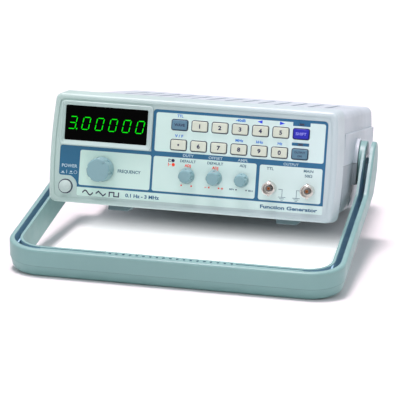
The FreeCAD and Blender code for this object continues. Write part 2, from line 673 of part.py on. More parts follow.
def power_inlet():
    """Mains inlet with a recess for the plug and a fuse drawer above it."""
    y1 = COVER_END - 2.0
    flange = pad_y(INLET_X - 17, INLET_X + 17, y1, y1 + 3, INLET_Z - 19, INLET_Z + 19, 3.0)
    case = box(INLET_X - 14, INLET_X + 14, y1 - 22, y1, INLET_Z - 16, INLET_Z + 16)
    recess = box(INLET_X - 12, INLET_X + 12, y1 - 15, y1 + 4, INLET_Z - 14, INLET_Z + 3)
    drawer = box(INLET_X - 11, INLET_X + 11, y1 + 2, y1 + 4, INLET_Z + 6, INLET_Z + 15)
    return fuse([flange, case]).cut([recess, drawer])


def inlet_pins():
    y1 = COVER_END - 2.0
    pins = []
    for x, z in ((-7.0, -8.0), (0.0, -4.0), (7.0, -8.0)):
        pins.append(box(INLET_X + x - 1, INLET_X + x + 1, y1 - 15, y1 - 3,
                        INLET_Z + z - 2, INLET_Z + z + 2))
    return group(pins)


def voltage_selector():
    y1 = COVER_END - 2.0
    flange = box(SELECTOR_X - 12, SELECTOR_X + 12, y1, y1 + 1.2, SELECTOR_Z - 6.5, SELECTOR_Z + 6.5)
    case = box(SELECTOR_X - 7.5, SELECTOR_X + 7.5, y1 - 9, y1, SELECTOR_Z - 4.5, SELECTOR_Z + 4.5)
    slot = box(SELECTOR_X - 5, SELECTOR_X + 5, y1 - 1, y1 + 2, SELECTOR_Z - 1.2, SELECTOR_Z + 1.2)
    return fuse([flange, case]).cut(slot)


# ---------------------------------------------------------------- handle
def direction(degrees):
    """Unit vector in the y-z plane, turned up from the rearward horizontal."""
    a = math.radians(degrees)
    return Vector(0, math.cos(a), math.sin(a))


def meet(p, u, q, v):
    """Crossing point of two lines in the y-z plane."""
    det = u.y * v.z - u.z * v.y
    t = ((q.y - p.y) * v.z - (q.z - p.z) * v.y) / det
    return p + u * t


PIVOT = Vector(0, PIVOT_Y, PIVOT_Z)
ALONG, ACROSS = direction(ARM_ANGLE), direction(ARM_ANGLE + 90)
LEG, LEG_ACROSS = direction(DOGLEG_ANGLE), direction(DOGLEG_ANGLE + 90)
BAR_TOP = Vector(0, BAR_TOP_Y, BAR_TOP_Z)
BAR_FOOT = BAR_TOP - ACROSS * ARM_DEPTH


def arm_side(hub_r, lift):
    """Side outline of an arm whose lower edge is raised by lift, as corner points."""
    upper = PIVOT + LEG_ACROSS * HUB_R
    lower = PIVOT - LEG_ACROSS * hub_r
    foot = BAR_FOOT + ACROSS * lift
    bend_top = meet(BAR_TOP, ALONG, upper, LEG)
    bend_low = meet(foot, ALONG, lower, LEG)
    return upper, lower, bend_top, bend_low


def side_slab(half):
    """The handle's side outline extruded across the whole width."""
    upper, lower, bend_top, bend_low = arm_side(HUB_R, 0.0)
    crown = PIVOT + LEG * HUB_R
    path = [Part.LineSegment(BAR_TOP, bend_top), Part.LineSegment(bend_top, upper),
            Part.Arc(upper, crown, lower), Part.LineSegment(lower, bend_low),
            Part.LineSegment(bend_low, BAR_FOOT), Part.LineSegment(BAR_FOOT, BAR_TOP)]
    wire = Part.Wire([piece.toShape() for piece in path])
    wire.translate(Vector(-half, 0, 0))
    slab = Part.Face(wire).extrude(Vector(2 * half, 0, 0))
    return rounded_at(slab, Vector(1, 0, 0), ((bend_top, 9.0), (bend_low, 24.0)))


def plan_point(x, along, up):
    """A point by its distance across, along the arm from the bar's face, and above the foot plane."""
    return BAR_FOOT + Vector(x, 0, 0) + ALONG * along + ACROSS * up


def plan_outline(half, front, corner, up):
    """Outline, open to the rear, of a bar with rounded ends joining two straight arms."""
    r = corner
    s = r * (1 - math.sqrt(0.5))
    rear = FAR
    right = Part.Arc(plan_point(half - r, front, up), plan_point(half - s, front + s, up),
                     plan_point(half, front + r, up))
    left = Part.Arc(plan_point(-half, front + r, up), plan_point(-half + s, front + s, up),
                    plan_point(-half + r, front, up))
    path = [Part.LineSegment(plan_point(-half + r, front, up), plan_point(half - r, front, up)), right,
            Part.LineSegment(plan_point(half, front + r, up), plan_point(half, rear, up)),
            Part.LineSegment(plan_point(half, rear, up), plan_point(-half, rear, up)),
            Part.LineSegment(plan_point(-half, rear, up), plan_point(-half, front + r, up)), left]
    return Part.Wire([piece.toShape() for piece in path])


def plan_slab(half, front, corner, up0, up1):
    return Part.Face(plan_outline(half, front, corner, up0)).extrude(ACROSS * (up1 - up0))


def channel_side():
    """Side outline of the channel: open upwards, and to the rear above the pivot."""
    r = HUB_R - WEB
    _, lower, _, bend_low = arm_side(r, WEB)
    rear_point = PIVOT + direction(14.0) * r
    under = PIVOT + direction(-20.0) * r
    front = bend_low - ALONG * FAR
    path = [Part.LineSegment(front, bend_low), Part.LineSegment(bend_low, lower),
            Part.Arc(lower, under, rear_point),
            Part.LineSegment(rear_point, rear_point + Vector(0, 60, 0)),
            Part.LineSegment(rear_point + Vector(0, 60, 0), rear_point + Vector(0, 60, 200)),
            Part.LineSegment(rear_point + Vector(0, 60, 200), front + Vector(0, 0, 200)),
            Part.LineSegment(front + Vector(0, 0, 200), front)]
    wire = Part.Wire([piece.toShape() for piece in path])
    wire.translate(Vector(-FLANGE_X1 - 1, 0, 0))
    return Part.Face(wire).extrude(Vector(2 * FLANGE_X1 + 2, 0, 0))


def plan_block(x0, x1, along0, along1, up0, up1):
    """Block lined up with the arms."""
    corners = [plan_point(x0, along0, up0), plan_point(x1, along0, up0),
               plan_point(x1, along1, up0), plan_point(x0, along1, up0)]
    return prism(corners, ACROSS * (up1 - up0))


def handle_blank():
    """The whole bail before it is hollowed: plumb upper walls, lower walls that taper in."""
    profile = side_slab(ARM_X1 + 1)
    upper = plan_slab(ARM_X1, 0.0, BAR_CORNER, TAPER_FROM, 160.0).common(profile)
    front = [edge for edge in edges_along(upper, Vector(1, 0, 0))
             if (edge.Vertexes[0].Point - BAR_TOP).cross(Vector(1, 0, 0)).Length < 0.02]
    upper = upper.makeFillet(EDGE_R, front)
    lower = Part.makeLoft([plan_outline(ARM_X1 - TAPER, TAPER, BAR_CORNER - TAPER, 0.0),
                           plan_outline(ARM_X1 - PART_STEP, PART_STEP, BAR_CORNER - PART_STEP, TAPER_FROM)],
                          True, True)
    sole = [edge for edge in lower.Edges
            if max(abs((v.Point - BAR_FOOT).dot(ACROSS)) for v in edge.Vertexes) < 0.01
            and min((v.Point - BAR_FOOT).dot(ALONG) for v in edge.Vertexes) < FAR - 1]
    return upper.fuse(lower.makeFillet(BAR_EDGE_R, sole).common(profile))


def handle():
    wall, ledge = ARM_X1 - FLANGE_X1, FLANGE_X0 - ARM_X0
    inner_r = BAR_CORNER - BAR_WIDTH
    blank = handle_blank().cut(plan_slab(ARM_X0, BAR_WIDTH, inner_r, -60.0, 200.0))
    trench = plan_slab(FLANGE_X1, wall, BAR_CORNER - wall, -60.0, 200.0)
    island = plan_slab(FLANGE_X0, BAR_WIDTH - ledge, inner_r + ledge, -60.0, 200.0)
    solid_bar = plan_block(-SOLID_BAR, SOLID_BAR, 0.0, BAR_WIDTH, -60.0, 200.0)
    slit = plan_block(GRIP_HALF, SOLID_BAR + 0.5, SLIT_FRONT, SLIT_REAR, -60.0, 200.0)
    trench = fuse([trench.cut([island, solid_bar])] + both_sides(slit)).common(channel_side())
    pockets = []
    for i in range(GRIP_POCKETS):
        x = (i - (GRIP_POCKETS - 1) / 2) * GRIP_PITCH
        pockets.append(plan_block(x - 0.9, x + 0.9, 4.4, 6.6, ARM_DEPTH - POCKET_DEPTH, ARM_DEPTH + 1))
    hubs = both_sides(rod_x(HUB_R, ARM_X0 - 5, HUB_X1, PIVOT_Y, PIVOT_Z))
    body = blank.cut([trench] + pockets + hubs)
    ribs = both_sides(plan_block(FLANGE_X0 - 1.6, FLANGE_X0 - 0.4, 9.5, 22.0, WEB - 0.5, ARM_DEPTH - 0.8))
    return body.fuse(ribs).removeSplitter()


def handle_hubs():
    """Discs that turn on the pivots and carry the arms, bored out for the bolt's head."""
    disc = rod_x(HUB_R, HUB_X0, HUB_X1, PIVOT_Y, PIVOT_Z)
    disc = disc.makeFillet(0.9, [edge for edge in disc.Edges if edge.BoundBox.XLength < 0.01])
    bore = rod_x(PIVOT_R + RUNNING, 0, FAR, PIVOT_Y, PIVOT_Z)
    return group(both_sides(disc.cut([bore, rod_x(HEAD_R + 0.3, HEAD_X0 - 0.3, FAR, PIVOT_Y, PIVOT_Z)])))


def handle_pivots():
    """Shouldered bolts fixed in the covers; the head traps the hub disc."""
    stud = rod_x(PIVOT_R, 100.0, HEAD_X0, PIVOT_Y, PIVOT_Z)
    head = rod_x(HEAD_R, HEAD_X0, HEAD_X1, PIVOT_Y, PIVOT_Z)
    nut = rod_x(8.0, 100.0, 105.2, PIVOT_Y, PIVOT_Z)
    slot = box(HEAD_X1 - 1.0, HEAD_X1 + 1.0, PIVOT_Y - 6, PIVOT_Y + 6, PIVOT_Z - 0.8, PIVOT_Z + 0.8)
    bolt = fuse([stud, head, nut]).cut(slot)
    return group(both_sides(bolt))


# ---------------------------------------------------------------- stance
def stance_tilt():
    """Lean of the casing, in radians, when its rear feet and the handle's bar are on one plane."""
    lean = math.atan2(TAPER - PART_STEP, TAPER_FROM)
    inward = TAPER + BAR_EDGE_R * math.tan(math.pi / 4 - lean / 2)
    bar_centre = BAR_FOOT + ALONG * inward + ACROSS * BAR_EDGE_R
    foot_centre = Vector(0, FOOT_YS[1][1] - FOOT_EDGE_R, -FOOT_HEIGHT + FOOT_EDGE_R)
    span = foot_centre - bar_centre
    return math.atan2(span.z, span.y) - math.asin((FOOT_EDGE_R - BAR_EDGE_R) / span.Length)


def tilted(shape, tilt):
    turned = shape.copy()
    turned.rotate(Vector(0, 0, 0), Vector(1, 0, 0), -math.degrees(tilt))
    return turned


def nodes():
    """Every sub-part by name, upright in the casing's axes."""
    tube = cover_tube()
    parts = {
        "front_bezel": front_bezel(), "front_overlay": front_overlay(), "display_filter": display_filter(),
        "top_cover": top_cover(tube), "bottom_cover": bottom_cover(tube), "rear_panel": rear_panel(),
        "bottom_feet": bottom_feet(), "rear_bumpers": rear_bumpers(), "m3_screws": m3_screws(),
        "power_inlet": power_inlet(), "inlet_pins": inlet_pins(), "voltage_selector": voltage_selector(),
        "main_board": main_board(), "front_board": front_board(), "board_standoffs": board_standoffs(),
        "digit_modules": digit_modules(), "key_switches": key_switches(), "status_leds": status_leds(),
        "encoder_body": encoder_body(), "ampl_pot": potentiometer(AMPL_X, 20.0),
        "power_switch": power_switch(), "transformer": transformer(), "heat_sink": heat_sink(),
        "board_components": board_components(), "ribbon_cable": ribbon_cable(),
        "bnc_shells": group([bnc_shell(x) for x in BNC_XS]),
        "bnc_insulators": group([bnc_insulator(x) for x in BNC_XS]),
        "bnc_contacts": group([bnc_contact(x) for x in BNC_XS]),
        "bnc_nuts": group([bnc_nut(x) for x in BNC_XS]),
        "handle": handle(), "handle_hubs": handle_hubs(), "handle_pivots": handle_pivots(),
        "power_button": power_button(), "power_push_rod": power_push_rod(),
        "frequency_knob": frequency_knob(),
        "frequency_shaft": shaft(FREQ_X, -10.0, 11.0),
        "ampl_knob": pointer_knob(AMPL_X, AMPL_R, AMPL_FRONT_R, MAX_ANGLE),
        "ampl_shaft": shaft(AMPL_X, -7.0, 14.5),
    }
    for name, x, angle in (("duty", DUTY_X, MIN_ANGLE), ("offset", OFFSET_X, MAX_ANGLE)):
        parts[name + "_pot"] = pull_pot(x)
        parts[name + "_carriage"] = carriage(x)
        parts[name + "_shaft"] = pull_shaft(x)
        parts[name + "_knob"] = pointer_knob(x, PULL_R, PULL_FRONT_R, angle)
    for name, x, z in keys():
        parts["key_" + name] = key(name, x, z)
    return parts


def shift_to_origin(shapes):
    """Vector that puts the middle of the underside of the shapes' box at the origin."""
    extent = Part.makeCompound(shapes).optimalBoundingBox(False, False)
    return Vector(-(extent.XMin + extent.XMax) / 2, -(extent.YMin + extent.YMax) / 2, -extent.ZMin)


def main():
    os.makedirs("parts", exist_ok=True)
    tilt = stance_tilt()
    placed = {name: tilted(shape, tilt) for name, shape in nodes().items()}
    shift = shift_to_origin(list(placed.values()))
    for name, shape in placed.items():
        shape.translate(shift)
        shape.exportStep("parts/" + name + ".step")
    print("tilt", round(math.degrees(tilt), 3), "shift", shift, "nodes", len(placed))


if __name__ == "__main__":
    main()
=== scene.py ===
import json
import math

import bmesh
import bpy
from mathutils import Matrix, Vector


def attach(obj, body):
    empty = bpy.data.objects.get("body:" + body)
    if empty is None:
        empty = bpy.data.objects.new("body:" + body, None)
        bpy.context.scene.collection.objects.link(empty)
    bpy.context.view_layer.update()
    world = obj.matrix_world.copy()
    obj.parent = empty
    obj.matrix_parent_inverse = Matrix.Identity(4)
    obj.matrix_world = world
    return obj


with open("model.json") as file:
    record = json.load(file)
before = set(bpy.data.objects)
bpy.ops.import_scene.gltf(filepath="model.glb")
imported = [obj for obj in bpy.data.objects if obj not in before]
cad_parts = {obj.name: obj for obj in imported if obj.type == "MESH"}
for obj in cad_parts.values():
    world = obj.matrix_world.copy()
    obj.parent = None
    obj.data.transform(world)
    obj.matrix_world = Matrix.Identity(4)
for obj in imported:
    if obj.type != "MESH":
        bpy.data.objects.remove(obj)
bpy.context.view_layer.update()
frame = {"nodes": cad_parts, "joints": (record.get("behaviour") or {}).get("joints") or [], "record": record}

scene = bpy.context.scene
nodes = frame["nodes"]
joints = {j["name"]: j for j in frame["joints"]}
KEY_NODES = [name for name in nodes if name.startswith("key_") and name != "key_switches"]

# ---------------------------------------------------------------- the casing's own axes
# Pieces are drawn upright in millimetres: x to the right, y from the bezel's face to the rear,
# z up from the bezel's lower edge. The record's joints say how that stands in the row frame.
OUTWARD = Vector(joints["frequency_turn"]["axis"])
LEAN = math.atan2(OUTWARD.z, -OUTWARD.y)
PIVOT_Y, PIVOT_Z = 130.0, 40.0
TURN = Matrix.Rotation(-LEAN, 4, "X")
SHIFT = Vector(joints["handle_pivot"]["pos_m"]) - TURN @ Vector((0.0, PIVOT_Y, PIVOT_Z)) * 0.001
CASING = Matrix.Translation(SHIFT) @ TURN @ Matrix.Scale(0.001, 4)
UPRIGHT = CASING.inverted()


def casing_box(node):
    """Lowest and highest corner of a CAD node in the casing's axes, in millimetres."""
    points = [UPRIGHT @ v.co for v in nodes[node].data.vertices]
    low = Vector([min(p[i] for p in points) for i in range(3)])
    high = Vector([max(p[i] for p in points) for i in range(3)])
    return low, high


def centre(node):
    """Middle of a CAD node in the casing's axes, in millimetres."""
    low, high = casing_box(node)
    return (low + high) / 2


# ---------------------------------------------------------------- sizes, in the casing's axes
BEZEL_HALF = 109.0               # half the front's width, where it is widest
FRONT_MIDDLE = 0.6               # the middle of the bezel lies this far behind its outer ring
KEY_WIDE, KEY_HIGH = 11.5, 7.2   # a key's cap, without the flange behind the panel
LAMP_INSET = 0.7                 # a lamp's lens lies this far in from the ends of the node with both
LAMP_RADIUS, LAMP_PROUD = 0.4, 0.12
MODULE_WIDE, DIGITS = 10.0, 6    # one digit module, and how many stand in the row

FILM_FACE = casing_box("front_overlay")[0].y
INK_THICK = 0.05
INK_FACE = FILM_FACE - INK_THICK
GLASS_FACE = casing_box("display_filter")[0].y
SEGMENT_THICK = 0.08

# the handle as it is folded down: its arms run back and up from the bar at the front
ARM_ANGLE = math.radians(17.5)
BAR_FOOT = (-56.97, -52.3)       # lower front corner of the bar, as y and z
ARM_OUTER, BAR_CORNER = 125.5, 27.0
ARM_DEPTH, PARTING = 21.7, 8.7   # how deep the arm is, and how far up its mould parts
CHANNEL_NEAR, CHANNEL_FAR = 3.65, 8.15   # the channel's sides, in from the outer face
CHANNEL_LIP = 0.3                # the rims stay skin coloured this far down
LEG_FROM = 90.0                  # beyond this distance along, the arm bends up to the hub
PART_HALF, PART_REACH = 0.22, 1.2        # half the parting line's width, and how far in it runs

# printed panels of the film, as x0, x1, z0, z1 on the front
PRINT_PANELS = (
    (-29.0, 99.0, 43.8, 73.0),
    (-85.7, -30.9, 13.8, 40.4),
    (-29.1, 49.3, 13.8, 40.1),
    (51.8, 98.8, 13.6, 39.8),
)
PANEL_CORNER = 1.6
PRINT_STRIP = (-87.4, 102.0, 4.0, 12.2)
STRIP_CORNER = 0.4
LAMP_FIELD_HALF, LAMP_FIELD_BELOW = 6.5, 1.2     # blue field left round each lamp
LAMP_FIELDS_ABOVE = (3.0, 1.1)                   # upper lamp, lower lamp
LAMP_FIELD_CORNER = 0.3


def lamp_centres():
    """Centres of the two status lamps, from the node that holds both."""
    low, high = casing_box("status_leds")
    x = (low.x + high.x) / 2
    return (x, high.z - LAMP_INSET), (x, low.z + LAMP_INSET)


def socket_axes():
    """x of the two coaxial sockets, from the round contacts that stand in them."""
    low, high = casing_box("bnc_contacts")
    radius = (high.z - low.z) / 2
    return low.x + radius, high.x - radius


def knob_axis(joint):
    """x and z of a knob's axis on the front."""
    point = UPRIGHT @ Vector(joints[joint]["pos_m"])
    return point.x, point.z


# ---------------------------------------------------------------- colours
def srgb(r, g, b):
    """Linear colour from 0-255 screen values."""
    def linear(v):
        v /= 255.0
        return v / 12.92 if v <= 0.04045 else ((v + 0.055) / 1.055) ** 2.4
    return linear(r), linear(g), linear(b), 1.0


def tint(colour, factor):
    """The colour, made darker or lighter by a factor."""
    return tuple(min(1.0, c * factor) for c in colour[:3]) + (1.0,)


BEZEL = srgb(188, 207, 203)
COVER = srgb(187, 199, 205)
BLUE = srgb(30, 101, 137)
MINT = srgb(211, 236, 226)
TEAL = srgb(126, 165, 162)
CHANNEL_SHADE_TINT = srgb(146, 186, 204)  # painted shade tint down inside the channel: bluer, standing in for the bluish shade there
CREAM = srgb(210, 218, 200)
SLATE = srgb(86, 128, 149)
KNOB = srgb(127, 166, 171)
GREEN_GLOW = (0.004, 0.92, 0.008, 1.0)
# painted light and shade across the front: a darker, greener left end and a lighter, more lilac right end
LEFT_SHADE_TONE, RIGHT_LIGHT_TONE = (0.86, 0.94, 0.90, 1.0), (1.06, 1.02, 1.10, 1.0)


# ---------------------------------------------------------------- materials
class Graph:
    """A node material with short calls for maths on the casing's coordinates."""

    def __init__(self, name):
        self.material = bpy.data.materials.new(name)
        self.material.use_nodes = True
        self.tree = self.material.node_tree
        self.shader = self.tree.nodes["Principled BSDF"]
        self.space = None

    def node(self, kind, **settings):
        made = self.tree.nodes.new(kind)
        for key, value in settings.items():
            setattr(made, key, value)
        return made

    def join(self, source, target):
        self.tree.links.new(source, target)

    def put(self, socket, value):
        if isinstance(value, bpy.types.NodeSocket):
            self.join(value, socket)
        else:
            socket.default_value = value

    def math(self, op, a, b=0.0, clamp=False):
        made = self.node("ShaderNodeMath", operation=op, use_clamp=clamp)
        self.put(made.inputs[0], a)
        self.put(made.inputs[1], b)
        return made.outputs[0]

    def plus(self, a, b):
        return self.math("ADD", a, b)

    def minus(self, a, b):
        return self.math("SUBTRACT", a, b)

    def times(self, a, b):
        return self.math("MULTIPLY", a, b)

    def larger(self, a, b):
        return self.math("MAXIMUM", a, b)

    def size(self, a):
        return self.math("ABSOLUTE", a)

    def position(self):
        """The shaded point in row metres."""
        if self.space is None:
            self.space = self.node("ShaderNodeTexCoord").outputs["Object"]
        return self.space

    def casing_axes(self):
        """x, y and z of the shaded point in the casing's axes, in millimetres."""
        mapping = self.node("ShaderNodeMapping")
        mapping.inputs["Scale"].default_value = (1000.0, 1000.0, 1000.0)
        mapping.inputs["Rotation"].default_value = (LEAN, 0.0, 0.0)
        mapping.inputs["Location"].default_value = UPRIGHT.translation
        self.join(self.position(), mapping.inputs["Vector"])
        split = self.node("ShaderNodeSeparateXYZ")
        self.join(mapping.outputs[0], split.inputs[0])
        return split.outputs

    def noise(self, scale, detail=3.0, roughness=0.55):
        made = self.node("ShaderNodeTexNoise")
        made.inputs["Scale"].default_value = scale
        made.inputs["Detail"].default_value = detail
        made.inputs["Roughness"].default_value = roughness
        self.join(self.position(), made.inputs["Vector"])
        return made.outputs["Fac"]

    def mix(self, factor, a, b, blend="MIX"):
        made = self.node("ShaderNodeMix", data_type="RGBA", blend_type=blend)
        self.put(made.inputs["Factor"], factor)
        self.put(made.inputs["A"], a)
        self.put(made.inputs["B"], b)
        return made.outputs["Result"]

    def spread(self, value, low, high):
        """Stretches the middle of a noise to run from low to high."""
        made = self.node("ShaderNodeMapRange")
        self.join(value, made.inputs["Value"])
        made.inputs["From Min"].default_value = 0.35
        made.inputs["From Max"].default_value = 0.65
        made.inputs["To Min"].default_value = low
        made.inputs["To Max"].default_value = high
        return made.outputs[0]

    def varied(self, colour, share, scale, detail=3.0):
        """The colour, made darker and lighter by up to a share in soft patches."""
        patches = self.spread(self.noise(scale, detail), 0.0, 1.0)
        return self.mix(patches, tint(colour, 1.0 - share), tint(colour, 1.0 + share))

    def bump(self, height, strength, distance):
        made = self.node("ShaderNodeBump")
        made.inputs["Strength"].default_value = strength
        made.inputs["Distance"].default_value = distance
        self.join(height, made.inputs["Height"])
        self.join(made.outputs[0], self.shader.inputs["Normal"])

    def set(self, name, value):
        self.put(self.shader.inputs[name], value)


def painted_light_drift(g, colour):
    """Painted light and shade: the front is a little greener and darker at its left end, and paler and more
    lilac at its right, as if lit more strongly from the right.
    """
    x, _, _ = g.casing_axes()
    to_right = g.math("DIVIDE", g.plus(x, BEZEL_HALF), 2 * BEZEL_HALF, clamp=True)
    return g.mix(1.0, colour, g.mix(to_right, LEFT_SHADE_TONE, RIGHT_LIGHT_TONE), "MULTIPLY")


def plastic(name, colour, rough=0.45, grain=1400.0, relief=0.10, vary=0.05, coat=0.0, painted_drift=False):
    """Moulded plastic: fine spark-eroded grain, faint colour patches and uneven gloss."""
    g = Graph(name)
    shade = g.varied(colour, vary, 9.0, 2.0)
    # when asked for, painted light and shade run across the front: darker at the left, lighter at the right
    g.set("Base Color", painted_light_drift(g, shade) if painted_drift else shade)
    g.set("Roughness", g.spread(g.noise(60.0, 4.0), rough - 0.05, rough + 0.07))
    g.set("Specular IOR Level", 0.45)
    g.set("Coat Weight", coat)
    g.set("Coat Roughness", 0.12)
    g.bump(g.noise(grain, 2.0), relief, 0.0002)
    return g.material


def metal(name, colour, rough=0.25, relief=0.06, streak=(1.0, 1.0, 1.0), grain=900.0):
    """Turned, plated or rolled metal with directional marks."""
    g = Graph(name)
    mapping = g.node("ShaderNodeMapping")
    mapping.inputs["Scale"].default_value = streak
    g.join(g.position(), mapping.inputs["Vector"])
    marks = g.node("ShaderNodeTexNoise")
    marks.inputs["Scale"].default_value = grain
    marks.inputs["Detail"].default_value = 3.0
    g.join(mapping.outputs[0], marks.inputs["Vector"])
    patches = g.spread(g.noise(40.0, 3.0), 0.0, 1.0)
    g.set("Base Color", g.mix(patches, tint(colour, 0.9), tint(colour, 1.06)))
    g.set("Metallic", 1.0)
    g.set("Roughness", g.spread(marks.outputs["Fac"], rough - 0.06, rough + 0.1))
    g.bump(marks.outputs["Fac"], relief, 0.0001)
    return g.material


def outline_distance(g, u, v, radius):
    """Distance outside a rounded outline, from the distances u and v past its corner's centre."""
    out_u, out_v = g.larger(u, 0.0), g.larger(v, 0.0)
    corner = g.math("SQRT", g.plus(g.times(out_u, out_u), g.times(out_v, out_v)))
    inside = g.math("MINIMUM", g.larger(u, v), 0.0)
    return g.minus(g.plus(corner, inside), radius)


def rounded(g, x, z, rect, radius, soft=0.12):
    """1 inside a rounded rectangle on the front panel, 0 outside."""
    x0, x1, z0, z1 = rect
    u = g.minus(g.size(g.minus(x, (x0 + x1) / 2)), (x1 - x0) / 2 - radius)
    v = g.minus(g.size(g.minus(z, (z0 + z1) / 2)), (z1 - z0) / 2 - radius)
    distance = outline_distance(g, u, v, radius)
    return g.math("SUBTRACT", 0.5, g.math("DIVIDE", distance, soft), clamp=True)


def film_material():
    """Printed film: mint panels on blue, with a blue field left round each lamp."""
    g = Graph("film_print")
    x, _, z = g.casing_axes()
    mask = rounded(g, x, z, PRINT_PANELS[0], PANEL_CORNER)
    for rect in PRINT_PANELS[1:]:
        mask = g.larger(mask, rounded(g, x, z, rect, PANEL_CORNER))
    mask = g.larger(mask, rounded(g, x, z, PRINT_STRIP, STRIP_CORNER))
    for (cx, cz), above in zip(lamp_centres(), LAMP_FIELDS_ABOVE):
        field = (cx - LAMP_FIELD_HALF, cx + LAMP_FIELD_HALF, cz - LAMP_FIELD_BELOW, cz + above)
        mask = g.times(mask, g.minus(1.0, rounded(g, x, z, field, LAMP_FIELD_CORNER)))
    shade = g.mix(mask, g.varied(BLUE, 0.05, 14.0, 2.0), g.varied(MINT, 0.02, 14.0, 2.0))
    # painted light and shade: the print is darker at the left end and lighter at the right
    g.set("Base Color", painted_light_drift(g, shade))
    g.set("Roughness", g.spread(g.noise(300.0, 3.0), 0.36, 0.46))
    g.set("Specular IOR Level", 0.4)
    g.bump(g.noise(2200.0, 1.0), 0.05, 0.0001)
    return g.material


def handle_material():
    """Teal plastic, with a painted shade tint that makes it bluer down inside the channel, and a fine dark
    line of painted shade where the mould parts in a small step.
    """
    g = Graph("handle_teal")
    x, y, z = g.casing_axes()
    dy, dz = g.minus(y, BAR_FOOT[0]), g.minus(z, BAR_FOOT[1])
    cos, sin = math.cos(ARM_ANGLE), math.sin(ARM_ANGLE)
    along = g.plus(g.times(dy, cos), g.times(dz, sin))
    above = g.minus(g.times(dz, cos), g.times(dy, sin))
    sideways, forwards = g.minus(g.size(x), ARM_OUTER - BAR_CORNER), g.minus(BAR_CORNER, along)
    edge = outline_distance(g, sideways, forwards, BAR_CORNER)

    # painted shade tint: mask of the channel's inside, below its rims and up the bend to the hub, not on the
    # underside
    within = g.times(g.math("LESS_THAN", edge, -CHANNEL_NEAR), g.math("GREATER_THAN", edge, -CHANNEL_FAR))
    below_rim = g.math("LESS_THAN", above, ARM_DEPTH - CHANNEL_LIP)
    sunk = g.larger(below_rim, g.math("GREATER_THAN", along, LEG_FROM))
    split = g.node("ShaderNodeSeparateXYZ")
    g.join(g.node("ShaderNodeNewGeometry").outputs["True Normal"], split.inputs[0])
    not_sole = g.math("GREATER_THAN", split.outputs[2], -0.4)
    inside = g.times(g.times(within, sunk), not_sole)

    # painted shade: the parting line is darkened as the shade of its small step would darken it
    parting = g.math("LESS_THAN", g.size(g.minus(above, PARTING)), PART_HALF)
    line = g.times(parting, g.math("GREATER_THAN", edge, -PART_REACH))
    skin = g.mix(g.times(line, 0.6), g.varied(TEAL, 0.04, 8.0, 2.0), tint(TEAL, 0.42))
    g.set("Base Color", g.mix(inside, skin, CHANNEL_SHADE_TINT))
    g.set("Roughness", g.spread(g.noise(70.0, 4.0), 0.34, 0.46))
    g.set("Specular IOR Level", 0.5)
    g.bump(g.noise(1500.0, 2.0), 0.08, 0.0002)
    return g.material


def board_material(name):
    """Green solder mask with copper tracks showing through as lighter bands."""
    g = Graph(name)
    tracks = g.node("ShaderNodeTexBrick")
    tracks.inputs["Scale"].default_value = 160.0
    tracks.inputs["Mortar Size"].default_value = 0.06
    tracks.inputs["Color1"].default_value = srgb(26, 92, 52)
    tracks.inputs["Color2"].default_value = srgb(32, 104, 60)
    tracks.inputs["Mortar"].default_value = srgb(58, 132, 82)
    g.join(g.position(), tracks.inputs["Vector"])
    g.set("Base Color", tracks.outputs["Color"])
    g.set("Roughness", g.spread(g.noise(200.0), 0.3, 0.5))
    g.bump(tracks.outputs["Fac"], 0.1, 0.0001)
    return g.material


def lit_material(name, colour, strength):
    """Glowing segment: its colour breaks up a little, as a diffused lamp does."""
    g = Graph(name)
    glow = g.mix(g.spread(g.noise(500.0), 0.0, 1.0), tint(colour, 0.9), tint(colour, 1.0))
    g.set("Base Color", tint(colour, 0.1))
    g.set("Specular IOR Level", 0.0)
    g.set("Emission Color", glow)
    g.set("Emission Strength", strength)
    g.set("Roughness", 0.4)
    return g.material


def printed(name, colour, rough=0.5):
    """Screen-printed ink with slightly uneven cover."""
    g = Graph(name)
    cover = g.spread(g.noise(700.0), 0.0, 1.0)
    g.set("Base Color", g.mix(cover, tint(colour, 0.93), tint(colour, 1.05)))
    g.set("Roughness", rough)
    g.bump(g.noise(3000.0, 1.0), 0.05, 0.0001)
    return g.material


def window_material():
    """Dark display window: deep, glossy and faintly uneven."""
    g = Graph("window_dark")
    g.set("Base Color", g.mix(g.spread(g.noise(12.0), 0.0, 1.0), srgb(0, 0, 0), srgb(2, 2, 2)))
    g.set("Roughness", g.spread(g.noise(30.0), 0.16, 0.24))
    g.set("Specular IOR Level", 0.02)
    g.bump(g.noise(150.0, 1.0), 0.02, 0.0001)
    return g.material


